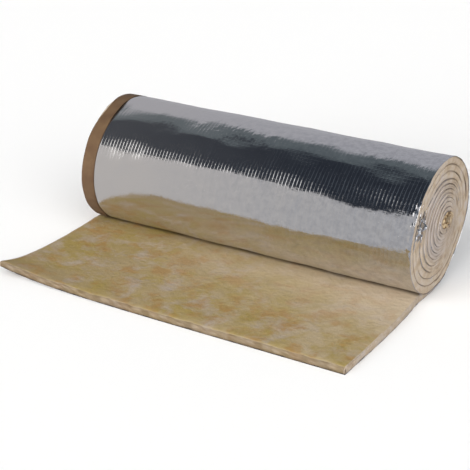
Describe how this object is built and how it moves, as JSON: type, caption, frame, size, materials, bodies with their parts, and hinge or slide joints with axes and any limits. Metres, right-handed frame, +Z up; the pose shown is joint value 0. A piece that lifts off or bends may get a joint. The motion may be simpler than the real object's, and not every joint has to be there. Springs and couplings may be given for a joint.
{
  "type": "insulation roll",
  "caption": "Roll of glass-wool blanket lying on its side, foil facing outwards, with a kraft margin round its left end and its free end laid out flat, wool side up.",
  "frame": {"origin": "on the floor, under the middle of the whole part", "axes": "+X along the roll to its right end, +Y to the back of the roll, +Z up; the free end runs to -Y"},
  "size_m": [1.255, 0.834, 0.426],
  "materials": {
    "glass_wool": "unbonded fibre, mottled tan and olive",
    "foil": "foil over a scrim grid, creased, half glossy",
    "kraft": "brown kraft paper, matt"
  },
  "bodies": {
    "root": {"glass_wool_blanket": "glass_wool", "foil_facing": "foil", "kraft_flange": "kraft"}
  },
  "joints": []
}
